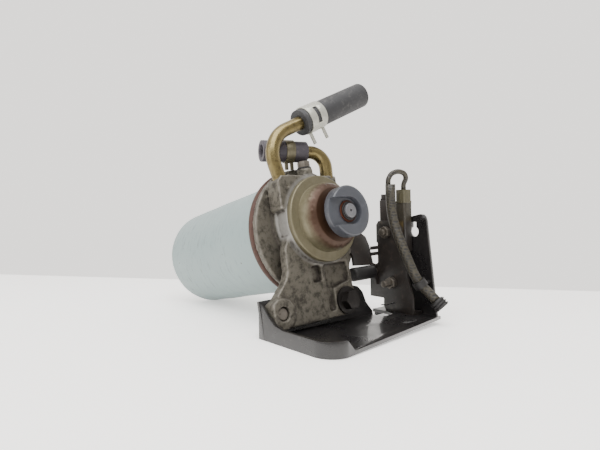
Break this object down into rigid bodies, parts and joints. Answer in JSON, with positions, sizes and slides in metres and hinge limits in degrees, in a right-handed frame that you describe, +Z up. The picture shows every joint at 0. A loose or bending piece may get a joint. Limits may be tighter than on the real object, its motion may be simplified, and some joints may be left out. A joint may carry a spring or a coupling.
{
  "type": "fuel filter",
  "caption": "Spin-on diesel fuel filter on a cast head with a hand priming pump, two fuel tubes with hose stubs, sheet brackets and a pair of solenoid valves.",
  "frame": {"origin": "centre of the assembly's resting footprint box, on the floor", "axes": "+Z up; +Y away from the pump knob towards the canister's closed end, which drops 11.5 degrees; +X from the bleed side to the keyhole wing"},
  "size_m": [0.1322, 0.2238, 0.1801],
  "materials": {
    "canister_paint": "satin",
    "seam_steel": "rusty",
    "cast_aluminium": "as cast, dusty",
    "zinc_yellow": "gloss",
    "cover_zinc": "satin",
    "hose_rubber": "satin",
    "clamp_steel": "satin",
    "knob_plastic": "satin",
    "copper_washer": "tarnished copper, satin",
    "black_ring": "matte",
    "steel": "satin",
    "bracket_paint": "satin, worn",
    "bracket_brown": "satin, worn",
    "dark_bolt": "satin",
    "valve_plastic": "satin",
    "valve_plastic_front": "satin",
    "sheath_braid": "braided",
    "black_rubber": "matte",
    "gasket_rubber": "matte",
    "diaphragm_rubber": "matte",
    "filter_paper": "matte",
    "spring_steel": "satin",
    "brass": "satin",
    "copper_winding": "enamelled"
  },
  "bodies": {
    "head": {"filter_head": "cast_aluminium", "filter_nipple": "steel", "left_fuel_tube": "zinc_yellow", "right_fuel_tube": "zinc_yellow", "long_hose": "hose_rubber", "short_hose": "hose_rubber", "long_hose_clamp": "clamp_steel", "short_hose_clamp": "clamp_steel", "bleed_washer": "black_ring", "inlet_valve_cartridge": "brass", "outlet_valve_cartridge": "brass", "inlet_valve_spring": "spring_steel", "outlet_valve_spring": "spring_steel", "pump_cover": "cover_zinc", "pump_diaphragm": "diaphragm_rubber", "pump_spring": "spring_steel", "rod_bush": "brass", "rod_seal": "black_rubber", "mounting_bracket": "bracket_paint", "front_bolt": "dark_bolt", "weld_nut": "dark_bolt", "rear_bolt": "steel", "valve_bracket": "bracket_brown", "bracket_studs": "steel", "stud_nuts": "steel", "stud_spacer": "steel", "port_pipe": "steel", "port_cap": "black_rubber", "front_valve_body": "valve_plastic_front", "rear_valve_body": "valve_plastic", "front_connector": "valve_plastic_front", "rear_connector": "valve_plastic", "valve_coils": "copper_winding", "front_armature_spring": "spring_steel", "rear_armature_spring": "spring_steel", "lead_sheath": "sheath_braid", "lead_loop": "sheath_braid", "lead_plug": "black_rubber", "lead_clip": "black_ring"},
    "canister": {"filter_can": "canister_paint", "can_retainer": "seam_steel", "tapping_plate": "steel", "filter_paper": "filter_paper", "centre_tube": "steel", "upper_end_cap": "steel", "lower_end_cap": "steel", "element_seal": "gasket_rubber", "support_spring": "spring_steel"},
    "plunger": {"plunger_rod": "steel", "inner_diaphragm_plate": "steel", "outer_diaphragm_plate": "steel", "pump_knob": "knob_plastic", "knob_washer": "copper_washer", "knob_clip": "black_ring"},
    "gasket": {"filter_gasket": "gasket_rubber"},
    "inlet_disc": {"inlet_valve_disc": "black_rubber"},
    "outlet_disc": {"outlet_valve_disc": "black_rubber"},
    "front_armature": {"front_armature": "steel"},
    "rear_armature": {"rear_armature": "steel"},
    "bleed_plug": {"bleed_plug": "steel"}
  },
  "joints": [
    {"name": "pump_stroke", "type": "slide", "parent": "head", "child": "plunger", "axis": [0, 0.9799, -0.1994], "range_m": [0, 0.005], "stiffness_N_per_m": 800, "springref_m": -0.012, "deforming": ["pump_spring", "pump_diaphragm"]},
    {"name": "inlet_valve_lift", "type": "slide", "parent": "head", "child": "inlet_disc", "axis": [0, -0.9799, 0.1994], "range_m": [0, 0.0012], "stiffness_N_per_m": 20, "springref_m": -0.001, "deforming": ["inlet_valve_spring"]},
    {"name": "outlet_valve_lift", "type": "slide", "parent": "head", "child": "outlet_disc", "axis": [0, 0.9799, -0.1994], "range_m": [0, 0.0012], "stiffness_N_per_m": 20, "springref_m": -0.001, "deforming": ["outlet_valve_spring"]},
    {"name": "front_valve_lift", "type": "slide", "parent": "head", "child": "front_armature", "axis": [-0.0513, -0.0003, 0.9987], "range_m": [0, 0.001], "stiffness_N_per_m": 300, "springref_m": -0.002, "deforming": ["front_armature_spring"]},
    {"name": "rear_valve_lift", "type": "slide", "parent": "head", "child": "rear_armature", "axis": [-0.0513, -0.0003, 0.9987], "range_m": [0, 0.001], "stiffness_N_per_m": 300, "springref_m": -0.002, "deforming": ["rear_armature_spring"]},
    {"name": "canister_travel", "type": "slide", "parent": "head", "child": "gasket", "axis": [0, 0.9799, -0.1994], "range_m": [0, 0.0075]},
    {"name": "canister_turn", "type": "hinge", "parent": "gasket", "child": "canister", "pos_m": [-0.01384, -0.03575, 0.06649], "axis": [0, 0.9799, -0.1994], "range_deg": [0, 1800]},
    {"name": "bleed_turn", "type": "hinge", "parent": "head", "child": "bleed_plug", "pos_m": [-0.01956, -0.03663, 0.10979], "axis": [-0.0523, 0.1991, 0.9786], "range_deg": [0, 360]}
  ],
  "couplings": [
    {"joint": "canister_turn", "follows": "canister_travel", "rad_per_m": 4188.8}
  ]
}
